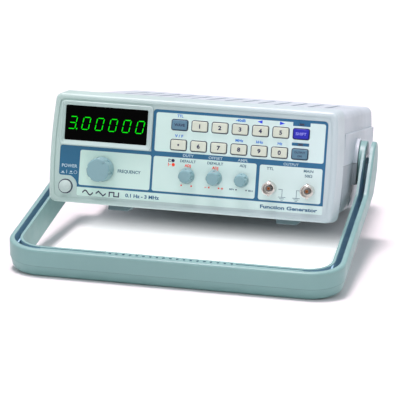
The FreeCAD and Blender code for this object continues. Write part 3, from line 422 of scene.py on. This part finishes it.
SLOT_MATERIALS = {
    # the bezel carries painted light and shade across the front, darker at the left and lighter at the right
    "bezel": plastic("bezel_plastic", BEZEL, 0.42, vary=0.04, painted_drift=True),
    "overlay_film": film_material(),
    "filter": window_material(),
    "cover_top": plastic("cover_top_plastic", COVER, 0.5),
    # painted shade: the lower cover is the top cover's colour made darker, standing in for the shade on its
    # sides that slope in towards the floor
    "cover_bottom": plastic("cover_bottom_painted_shade", tint(COVER, 0.74), 0.5),
    "rear_sheet": plastic("rear_powder_coat", srgb(196, 200, 206), 0.55, 2600.0, 0.3),
    "foot_rubber": plastic("foot_rubber", srgb(96, 116, 120), 0.7, 900.0, 0.25),
    "bumper": plastic("bumper_plastic", TEAL, 0.5),
    "screw_steel": metal("screw_zinc", srgb(196, 198, 200), 0.3),
    "inlet_black": plastic("inlet_black", srgb(26, 26, 28), 0.4),
    "plug_pins": metal("pin_nickel", srgb(206, 200, 180), 0.22),
    "selector_red": plastic("selector_red", srgb(160, 34, 30), 0.35),
    "circuit_board": board_material("main_board_mask"),
    "front_circuit": board_material("front_board_mask"),
    "digit_green": plastic("digit_body", srgb(40, 44, 42), 0.4),
    "switch_black": plastic("switch_black", srgb(34, 34, 36), 0.4),
    "led_red": plastic("lamp_red", srgb(62, 62, 88), 0.3, coat=0.2),    # unlit, so it looks dark
    "encoder_case": metal("encoder_aluminium", srgb(186, 188, 190), 0.3),
    "pot_case": plastic("pot_blue", srgb(44, 76, 120), 0.4),
    "bnc_nickel": metal("socket_nickel", srgb(214, 210, 203), 0.24, streak=(1.0, 12.0, 1.0)),
    # painted shade: the white insulator is given a dark grey, standing in for the shade deep in the socket's
    # bore
    "bnc_white": plastic("socket_insulator_painted_shade", srgb(104, 106, 104), 0.35),
    "bnc_centre": metal("socket_gold", srgb(166, 98, 52), 0.3),
    "power_switch_body": plastic("power_switch_body", srgb(44, 44, 46), 0.4),
    "transformer_iron": metal("laminations", srgb(112, 112, 116), 0.45, 0.3, (1.0, 1.0, 14.0), 260.0),
    "heat_sink_aluminium": metal("heat_sink_anodised", srgb(54, 55, 60), 0.4),
    "component_black": plastic("component_black", srgb(34, 35, 40), 0.35),
    "push_rod": plastic("push_rod_white", srgb(226, 226, 222), 0.4),
    "standoff_brass": metal("standoff_brass", srgb(206, 176, 104), 0.28),
    "ribbon_grey": plastic("ribbon_grey", srgb(160, 162, 168), 0.45),
    "handle_teal": handle_material(),
    "hub_plastic": plastic("hub_teal", TEAL, 0.38),
    "pivot_steel": metal("pivot_steel", srgb(190, 192, 194), 0.26, streak=(14.0, 1.0, 1.0)),
    "knob_large": plastic("knob_plastic_large", KNOB, 0.36, coat=0.15),
    "knob_small": plastic("knob_plastic_small", KNOB, 0.36, coat=0.15),
    "shaft_metal": metal("shaft_aluminium", srgb(188, 190, 192), 0.26, streak=(1.0, 10.0, 1.0)),
    "carriage_white": plastic("carriage_white", srgb(230, 230, 226), 0.4),
    "button_pale": plastic("button_pale", srgb(184, 204, 198), 0.3, coat=0.3),
    "key_cream": plastic("key_cream", CREAM, 0.42),
    "key_slate": plastic("key_slate", SLATE, 0.4),
    "key_blue": plastic("key_blue", srgb(5, 7, 172), 0.35),
}
INKS = {
    "ink": printed("ink_slate", srgb(50, 104, 124)),
    "dark": printed("ink_navy", srgb(16, 24, 70)),
    "cyan": printed("ink_cyan", srgb(16, 118, 214)),
    "arrow": printed("ink_blue", srgb(16, 60, 225)),
    "white": printed("ink_white", srgb(176, 204, 214)),
    "orange": printed("ink_orange", srgb(255, 66, 20)),
    "lavender": printed("ink_lavender", srgb(150, 152, 232)),
    "title": printed("ink_title", srgb(38, 100, 136)),
}
SEGMENT_GLOW = lit_material("segment_green", GREEN_GLOW, 1.0)

for entry in frame["record"]["subparts"]:
    mesh = nodes[entry["node"]].data
    mesh.materials.clear()
    mesh.materials.append(SLOT_MATERIALS[entry["material_slot"]])


# ---------------------------------------------------------------- piece making
def piece(name, bm, material, body="chassis", angle=35.0):
    """A mesh drawn in the casing's axes, put into the row frame and set riding on a body."""
    mesh = bpy.data.meshes.new(name)
    bmesh.ops.recalc_face_normals(bm, faces=bm.faces)
    bm.to_mesh(mesh)
    bm.free()
    mesh.transform(CASING)
    mesh.materials.append(material)
    mesh.shade_smooth()
    mesh.set_sharp_from_angle(angle=math.radians(angle))
    obj = bpy.data.objects.new(name, mesh)
    scene.collection.objects.link(obj)
    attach(obj, body)
    return obj


def plate(bm, corners, y0=INK_FACE, y1=FILM_FACE):
    """Prism along y over (x, z) corners. Without a depth, it is ink on the film."""
    front = [bm.verts.new((x, y0, z)) for x, z in corners]
    back = [bm.verts.new((x, y1, z)) for x, z in corners]
    bm.faces.new(front)
    bm.faces.new(back[::-1])
    count = len(corners)
    for i in range(count):
        j = (i + 1) % count
        bm.faces.new((front[i], back[i], back[j], front[j]))


def disc(bm, x, z, radius, y0=INK_FACE, y1=FILM_FACE, steps=20):
    angles = [2 * math.pi * i / steps for i in range(steps)]
    plate(bm, [(x + radius * math.cos(a), z + radius * math.sin(a)) for a in angles], y0, y1)


def stroke(bm, points, width):
    """Inked line of constant width through (x, z) points, one bar per run."""
    for (xa, za), (xb, zb) in zip(points, points[1:]):
        dx, dz = xb - xa, zb - za
        length = math.hypot(dx, dz)
        ux, uz = dx / length * width / 2, dz / length * width / 2
        plate(bm, [(xa - ux - uz, za - uz + ux), (xb + ux - uz, zb + uz + ux),
                   (xb + ux + uz, zb + uz - ux), (xa - ux + uz, za - uz - ux)])


def ring(bm, rect, radius, width, y0, y1, steps):
    """Closed line of constant width round a rounded rectangle given as x0, x1, z0, z1."""
    x0, x1, z0, z1 = rect
    centres = ((x1 - radius, z1 - radius), (x0 + radius, z1 - radius),
               (x0 + radius, z0 + radius), (x1 - radius, z0 + radius))
    turns = [(corner, (corner + i / steps) * math.pi / 2) for corner in range(4) for i in range(steps + 1)]
    loops = []
    for r, y in ((radius, y0), (radius + width, y0), (radius + width, y1), (radius, y1)):
        loops.append([bm.verts.new((centres[c][0] + r * math.cos(a), y, centres[c][1] + r * math.sin(a)))
                      for c, a in turns])
    count = len(turns)
    for inner, outer in zip(loops, loops[1:] + loops[:1]):
        for i in range(count):
            j = (i + 1) % count
            bm.faces.new((inner[i], inner[j], outer[j], outer[i]))


CAPITAL = 0.69                   # height of the font's capitals, as a share of its size


def lettering(name, text, x, z, height, y, ink, body="chassis", width=None, squeeze=1.0, bold=0.018):
    """Flat text centred at (x, z) on the plane y, its capitals height high."""
    curve = bpy.data.curves.new(name, "FONT")
    curve.body = text
    curve.size = 1.0
    curve.extrude = 0.0
    curve.offset = bold
    curve.resolution_u = 4
    carrier = bpy.data.objects.new(name + "_source", curve)
    scene.collection.objects.link(carrier)
    flat = bpy.data.meshes.new_from_object(carrier.evaluated_get(bpy.context.evaluated_depsgraph_get()))
    bpy.data.objects.remove(carrier)
    bpy.data.curves.remove(curve)
    bm = bmesh.new()
    bm.from_mesh(flat)
    bpy.data.meshes.remove(flat)
    bmesh.ops.remove_doubles(bm, verts=bm.verts, dist=0.0005)
    xs = [v.co.x for v in bm.verts]
    middle = (max(xs) + min(xs)) / 2
    upward = height / CAPITAL
    across = upward * squeeze if width is None else width / (max(xs) - min(xs))
    for v in bm.verts:
        v.co = Vector(((v.co.x - middle) * across + x, y - INK_THICK, (v.co.y - CAPITAL / 2) * upward + z))
    made = bmesh.ops.extrude_face_region(bm, geom=list(bm.faces))
    for item in made["geom"]:
        if isinstance(item, bmesh.types.BMVert):
            item.co.y += INK_THICK
    return piece(name, bm, INKS[ink], body)


# ---------------------------------------------------------------- printed legends
# name, text, middle as x and z, height of the capitals, width, ink
PANEL_LEGENDS = (
    ("frequency", "FREQUENCY", -47.2, 26.5, 2.2, 17.6, "ink"),
    ("power", "POWER", -93.4, 27.7, 2.3, 12.0, "white"),
    ("duty", "DUTY", -2.8, 42.0, 1.9, 8.2, "white"),
    ("offset", "OFFSET", 18.0, 41.8, 1.9, 10.6, "white"),
    ("ampl", "AMPL", 38.8, 41.7, 1.9, 8.0, "white"),
    ("output", "OUTPUT", 75.0, 41.5, 1.9, 11.4, "white"),
    ("duty_default", "DEFAULT", -2.8, 37.8, 1.9, 12.0, "ink"),
    ("offset_default", "DEFAULT", 18.0, 37.8, 1.9, 12.0, "ink"),
    ("duty_adj", "ADJ", -2.8, 34.6, 1.9, 4.8, "orange"),
    ("offset_adj", "ADJ", 18.1, 34.5, 1.9, 4.8, "orange"),
    ("ampl_adj", "ADJ", 38.9, 37.7, 1.9, 4.8, "ink"),
    ("ttl_out", "TTL", 59.6, 37.3, 2.0, 5.2, "ink"),
    ("main_out", "MAIN", 88.4, 37.4, 1.9, 7.2, "ink"),
    ("impedance", "50Ω", 88.6, 33.8, 1.9, 5.6, "ink"),
    ("ampl_min", "MIN", 31.6, 19.6, 1.2, 3.4, "ink"),
    ("ampl_max", "MAX", 46.1, 19.4, 1.2, 3.6, "ink"),
    ("range", "0.1 Hz - 3 MHz", -36.0, 8.6, 2.5, 26.0, "title"),
    ("kind", "Function Generator", 75.4, 8.7, 2.5, 43.0, "title"),
)
HEAVY_INKS = ("title", "orange")
for tag, text, x, z, height, width, ink in PANEL_LEGENDS:
    weight = 0.035 if ink in HEAVY_INKS else 0.022
    lettering("legend_" + tag, text, x, z, height, FILM_FACE, ink, width=width, bold=weight)


def key_legend(node):
    """What stands on a key's face. It rides on the key."""
    face = casing_box(node)[0].y
    x, _, z = centre(node)
    word = node.removeprefix("key_")
    if word == "output":
        lettering("legend_key_output", "OUTPUT", x, z + 1.2, 1.5, face, "dark", node, width=8.2, bold=0.015)
        lettering("legend_key_on", "ON", x, z - 1.5, 1.5, face, "dark", node, width=3.2)
    elif word == "point":
        dot = bmesh.new()
        disc(dot, x, z, 0.75, face - INK_THICK, face)
        piece("legend_key_point", dot, INKS["dark"], node)
    elif word in ("wave", "shift"):
        ink = "lavender" if word == "shift" else "dark"
        lettering("legend_key_" + word, word.upper(), x, z, 2.0, face, ink, node, width=8.0, bold=0.02)
    else:
        lettering("legend_key_" + word, word, x, z, 2.9, face, "dark", node, squeeze=1.1, bold=0.04)


for name in KEY_NODES:
    key_legend(name)


# ---------------------------------------------------------------- painted shadow lines round the keys and the button
def painted_key_gap_shadows():
    """Painted shadow: thin dark line round every key, standing in for the shade in its gap, a little further
    off at its right and below.
    """
    near, far, corner, thick = 0.15, 0.3, 1.3, 0.5
    key_gap_shadows = bmesh.new()
    for name in KEY_NODES:
        x, _, z = centre(name)
        rect = (x - KEY_WIDE / 2 - near, x + KEY_WIDE / 2 + far,
                z - KEY_HIGH / 2 - far, z + KEY_HIGH / 2 + near)
        ring(key_gap_shadows, rect, corner, thick, INK_FACE, FILM_FACE, 4)
    piece("painted_key_gap_shadows", key_gap_shadows, INKS["dark"])


def painted_button_gap_shadow():
    """Painted shadow: thin dark line on the bezel round the power button, standing in for the shade in its
    gap.
    """
    low, high = casing_box("power_button")
    x, _, z = centre("power_button")
    radius = (high.x - low.x) / 2 + 0.15
    button_gap_shadow = bmesh.new()
    square = (x - radius, x + radius, z - radius, z + radius)
    ring(button_gap_shadow, square, radius - 0.01, 0.7, FRONT_MIDDLE - INK_THICK, FRONT_MIDDLE, 10)
    piece("painted_button_gap_shadow", button_gap_shadow, INKS["dark"])


painted_key_gap_shadows()
painted_button_gap_shadow()

# ---------------------------------------------------------------- marks above the keys
ABOVE_KEY = 6.7                  # from a key's middle up to the middle of what is printed above it
# key, text, width
SHIFT_LEGENDS = (("wave", "TTL", 4.6), ("3", "-40dB", 7.4), ("point", "V / F", 6.4),
                 ("8", "MHz", 6.0), ("9", "kHz", 5.2), ("0", "Hz", 3.6))
for key, text, width in SHIFT_LEGENDS:
    x, _, z = centre("key_" + key)
    lettering("legend_above_" + key, text, x, z + ABOVE_KEY, 1.9, FILM_FACE, "cyan", width=width, bold=0.035)


def arrow_above(key, way):
    """Arrow head that points left (-1) or right (1)."""
    x, _, z = centre("key_" + key) + Vector((0.8 * way, 0.0, ABOVE_KEY + 0.1))
    corners = [(x + way * 2.0, z), (x - way * 1.9, z + 1.3), (x - way * 1.9, z - 1.3)]
    mark = bmesh.new()
    plate(mark, corners[::way])
    piece("arrow_above_" + key, mark, INKS["arrow"])


arrow_above("4", -1)
arrow_above("5", 1)


# ---------------------------------------------------------------- marks round the small knobs
def dots(name, joint, places, radius, ink):
    """Dots at (x, z) places from a knob's axis."""
    x, z = knob_axis(joint)
    bm = bmesh.new()
    for dx, dz in places:
        disc(bm, x + dx, z + dz, radius)
    piece(name, bm, INKS[ink])


dots("dots_duty", "duty_turn", ((-3.9, -7.4), (3.8, -7.4)), 0.65, "orange")
dots("dots_offset", "offset_turn", ((-3.7, -7.4), (3.8, -7.4)), 0.65, "orange")
dots("dots_ampl", "ampl_turn", ((-3.8, -7.4), (3.8, -7.4)), 0.55, "dark")


def offset_signs():
    """Minus and plus at the two ends of the offset knob's turn."""
    x, z = knob_axis("offset_turn")
    signs = bmesh.new()
    stroke(signs, [(x - 6.9, z - 7.4), (x - 5.7, z - 7.4)], 0.4)
    stroke(signs, [(x + 5.7, z - 7.5), (x + 7.1, z - 7.5)], 0.45)
    stroke(signs, [(x + 6.4, z - 8.2), (x + 6.4, z - 6.8)], 0.45)
    piece("signs_offset", signs, INKS["orange"])


def button_icon(name, x, z, ink, pulled):
    """Little side view of a knob pushed in or pulled out, beside the duty legend."""
    bm = bmesh.new()
    disc(bm, x + 1.4, z, 1.25)
    if pulled:
        stroke(bm, [(x - 2.3, z - 1.0), (x - 2.3, z + 1.0)], 0.5)
        stroke(bm, [(x - 1.6, z), (x - 0.6, z)], 0.4)
    else:
        stroke(bm, [(x - 1.8, z - 1.1), (x - 1.8, z + 1.1)], 0.5)
        stroke(bm, [(x - 1.2, z - 0.7), (x - 0.2, z - 0.7)], 0.4)
        stroke(bm, [(x - 1.2, z + 0.7), (x - 0.2, z + 0.7)], 0.4)
    piece(name, bm, INKS[ink])


offset_signs()
button_icon("icon_pushed", -15.6, 37.6, "dark", False)
button_icon("icon_pulled", -15.2, 34.5, "orange", True)


# ---------------------------------------------------------------- marks by sockets and button
def ground_symbol(name, socket_x, way):
    """Line from a socket to the ground sign beside it, to its right (1) or left (-1)."""
    z, thin = 22.4, 0.35
    x = socket_x + way * 8.9
    bm = bmesh.new()
    stroke(bm, [(socket_x + way * 6.2, z), (x, z)], thin)
    stroke(bm, [(x, z), (x, z - 5.6)], thin)
    for i, half in enumerate((2.6, 1.6, 0.7)):
        bar_z = z - 5.8 - i * 1.1
        stroke(bm, [(x - half, bar_z), (x + half, bar_z)], thin)
    piece(name, bm, INKS["ink"])


def power_icons():
    """Under the word power: the button in with a stroke for on, the button out with a ring for off."""
    base, thin = 21.9, 0.4
    icons = bmesh.new()
    for x, lift in ((-98.4, 0.0), (-92.0, 0.5)):
        stroke(icons, [(x - 1.4, base), (x + 1.4, base)], thin)
        low, high = base + 0.4 + lift, base + 1.4 + lift
        plate(icons, [(x - 0.8, low), (x + 0.8, low), (x + 0.8, high), (x - 0.8, high)])
    stroke(icons, [(-95.4, base), (-95.4, 24.1)], thin)
    angles = [i * math.pi / 8 for i in range(17)]
    stroke(icons, [(-88.6 + 1.15 * math.cos(a), 23.0 + 1.15 * math.sin(a)) for a in angles], 0.35)
    piece("icons_power", icons, INKS["white"])


def wave_symbols():
    """One period each of a sine, a triangle and a square wave, on the strip."""
    middle = 8.4
    sine = [(-82.0 + 7.6 * i / 16, middle + 1.6 * math.sin(math.pi * i / 8)) for i in range(17)]
    triangle = [(-71.6, middle), (-69.8, middle + 1.6), (-66.2, middle - 1.6), (-64.4, middle)]
    square = [(-61.4, 6.9), (-61.4, 9.9), (-57.8, 9.9), (-57.8, 6.9), (-54.2, 6.9), (-54.2, 9.9)]
    waves = bmesh.new()
    for shape in (sine, triangle, square):
        stroke(waves, shape, 0.85)
    piece("wave_symbols", waves, INKS["dark"])


def lamp_lenses():
    """Faces of the two status lamps, a little proud of the film."""
    lenses = bmesh.new()
    for x, z in lamp_centres():
        disc(lenses, x, z, LAMP_RADIUS, FILM_FACE - LAMP_PROUD, FILM_FACE)
    piece("lamp_lenses", lenses, SLOT_MATERIALS["led_red"])


logic_x, main_x = socket_axes()
ground_symbol("ground_logic", logic_x, 1)
ground_symbol("ground_main", main_x, -1)
power_icons()
wave_symbols()
lamp_lenses()

# ---------------------------------------------------------------- lit digits
FIGURE_WIDE, FIGURE_HIGH = 5.9, 9.8
SEGMENT, SEGMENT_GAP = 0.64, 0.42        # a bar's width, and how far it stops short of its corner
SLANT = math.tan(math.radians(10.5))
FIRST_FIGURE = 5.2                       # its middle, from the left end of the modules
POINT_X, POINT_DROP, POINT_RADIUS = 8.4, 4.5, 0.55
READING = ("abcdg",) + ("abcdef",) * 5   # a three and five noughts, with the point after the three


def segment(bm, x, z, start, end):
    """One pointed bar of a figure at (x, z), level or upright before the figure leans."""
    (u0, v0), (u1, v1) = start, end
    half = SEGMENT / 2
    du, dv = (half, 0.0) if v0 == v1 else (0.0, half)
    su, sv = (0.0, half) if v0 == v1 else (half, 0.0)
    outline = [(u0, v0), (u0 + du + su, v0 + dv + sv), (u1 - du + su, v1 - dv + sv),
               (u1, v1), (u1 - du - su, v1 - dv - sv), (u0 + du - su, v0 + dv - sv)]
    plate(bm, [(x + u + SLANT * v, z + v) for u, v in outline], GLASS_FACE - SEGMENT_THICK, GLASS_FACE)


def digit(bm, x, z, lit_bars):
    """Seven-segment figure leaning to the right. Bars a to g are lettered as usual."""
    right, top = (FIGURE_WIDE - SEGMENT) / 2, (FIGURE_HIGH - SEGMENT) / 2
    left, low, gap = -right, -top, SEGMENT_GAP
    bars = {
        "a": ((left + gap, top), (right - gap, top)),
        "b": ((right, gap), (right, top - gap)),
        "c": ((right, low + gap), (right, -gap)),
        "d": ((left + gap, low), (right - gap, low)),
        "e": ((left, low + gap), (left, -gap)),
        "f": ((left, gap), (left, top - gap)),
        "g": ((left + gap, 0.0), (right - gap, 0.0)),
    }
    for letter in lit_bars:
        segment(bm, x, z, *bars[letter])


def lit_digits():
    """The lit figures and the decimal point, on the face of the window."""
    low, high = casing_box("digit_modules")
    pitch = (high.x - low.x - MODULE_WIDE) / (DIGITS - 1)
    z = (low.z + high.z) / 2
    figures = bmesh.new()
    for i, lit_bars in enumerate(READING):
        digit(figures, low.x + FIRST_FIGURE + i * pitch, z, lit_bars)
    disc(figures, low.x + POINT_X, z - POINT_DROP, POINT_RADIUS, GLASS_FACE - SEGMENT_THICK, GLASS_FACE)
    piece("lit_digits", figures, SEGMENT_GLOW)


lit_digits()

# ---------------------------------------------------------------- floor, light, camera
# Painted light: an emissive glow on the floor under the case stands in for light let in from the front, and
# where it fades it paints the case's shadow. It fades towards the rear feet and stops short of the handle's
# arms. Its limits are in the casing's axes.
GLOW_END, GLOW_FADE, GLOW_FALL = 176.0, 71.0, 1.9    # its rear end, the length and the power of its fade
GLOW_HALF, GLOW_EDGE = 114.0, 14.0                   # half its width, and the soft margin within that
GLOW_AHEAD = 30.0                                    # it fades out this far in front of the bezel
GLOW_STRENGTH = 0.82
PAPER_DARK, PAPER_LIGHT = (0.72, 0.72, 0.72, 1.0), (0.74, 0.74, 0.74, 1.0)
FLOOR_HALF = 12.0


def paper_material():
    """White paper with a painted glow of light under the case."""
    g = Graph("floor_paper_painted_glow")
    g.set("Base Color", g.mix(g.noise(2.0), PAPER_DARK, PAPER_LIGHT))
    g.set("Roughness", 0.9)
    g.set("Specular IOR Level", 0.0)
    x, y, _ = g.casing_axes()
    deep = g.math("DIVIDE", g.minus(GLOW_END, y), GLOW_FADE, clamp=True)
    across = g.math("DIVIDE", g.minus(GLOW_HALF, g.size(x)), GLOW_EDGE, clamp=True)
    ahead = g.math("DIVIDE", g.plus(y, GLOW_AHEAD), GLOW_AHEAD, clamp=True)
    # painted light: the glow's strength, shaped by the case's footprint
    glow = g.times(g.math("POWER", deep, GLOW_FALL), g.times(across, ahead))
    g.set("Emission Color", (1.0, 1.0, 1.0, 1.0))
    g.set("Emission Strength", g.times(glow, GLOW_STRENGTH))
    return g.material


floor = bmesh.new()
bmesh.ops.create_grid(floor, x_segments=4, y_segments=4, size=FLOOR_HALF)
floor_mesh = bpy.data.meshes.new("floor")
floor.to_mesh(floor_mesh)
floor.free()
floor_mesh.materials.append(paper_material())
floor_obj = bpy.data.objects.new("floor", floor_mesh)
scene.collection.objects.link(floor_obj)

SKY_LOW, SKY_HIGH = (0.19, 0.29, 0.27, 1.0), (0.95, 0.91, 1.0, 1.0)


def studio():
    """Surroundings that are dim and greenish at the horizon, and bright overhead."""
    world = bpy.data.worlds.new("studio")
    world.use_nodes = True
    sky = world.node_tree
    heading = sky.nodes.new("ShaderNodeSeparateXYZ")
    sky.links.new(sky.nodes.new("ShaderNodeTexCoord").outputs["Generated"], heading.inputs[0])
    height = sky.nodes.new("ShaderNodeClamp")
    sky.links.new(heading.outputs[2], height.inputs[0])
    blend = sky.nodes.new("ShaderNodeMix")
    blend.data_type = "RGBA"
    sky.links.new(height.outputs[0], blend.inputs["Factor"])
    blend.inputs["A"].default_value = SKY_LOW
    blend.inputs["B"].default_value = SKY_HIGH
    sky.links.new(blend.outputs["Result"], sky.nodes["Background"].inputs["Color"])
    return world


def sun(name, strength, towards, spread, colour):
    """Soft sun shining along a direction."""
    lamp = bpy.data.lights.new(name, "SUN")
    lamp.energy = strength
    lamp.angle = math.radians(spread)
    lamp.color = colour
    obj = bpy.data.objects.new(name, lamp)
    obj.rotation_euler = Vector(towards).to_track_quat("-Z", "Y").to_euler()
    scene.collection.objects.link(obj)


scene.world = studio()
sun("key_light", 2.95, (0.12, -0.03, -1.0), 15.0, (1.0, 0.84, 0.89))
sun("front_fill", 0.60, (-0.1, 1.0, -0.2), 50.0, (1.0, 0.92, 0.98))

# the camera's place and aim in the casing's axes, and its lens, in millimetres and degrees
EYE = Vector((282.934, -1549.810, 129.762))
YAW, PITCH, ROLL = 10.0437, -4.3616, -3.8825
LENS, SENSOR = 189.8109, 36.0


def rotation(degrees, axis):
    return Matrix.Rotation(math.radians(degrees), 3, axis)


def place_camera():
    """The main view: from the front, a little to the right and above."""
    aim = rotation(YAW, "Z") @ rotation(PITCH, "X") @ rotation(ROLL, "Y")
    right, forward, up = aim.col
    turn = TURN.to_3x3() @ Matrix((right, up, -forward)).transposed()
    data = bpy.data.cameras.new("camera")
    data.sensor_width = SENSOR
    data.lens = LENS
    data.clip_start = 0.05
    data.clip_end = 100.0
    camera = bpy.data.objects.new("camera", data)
    camera.matrix_world = Matrix.Translation(CASING @ EYE) @ turn.to_4x4()
    scene.collection.objects.link(camera)
    scene.camera = camera


place_camera()
scene.view_settings.view_transform = "Standard"
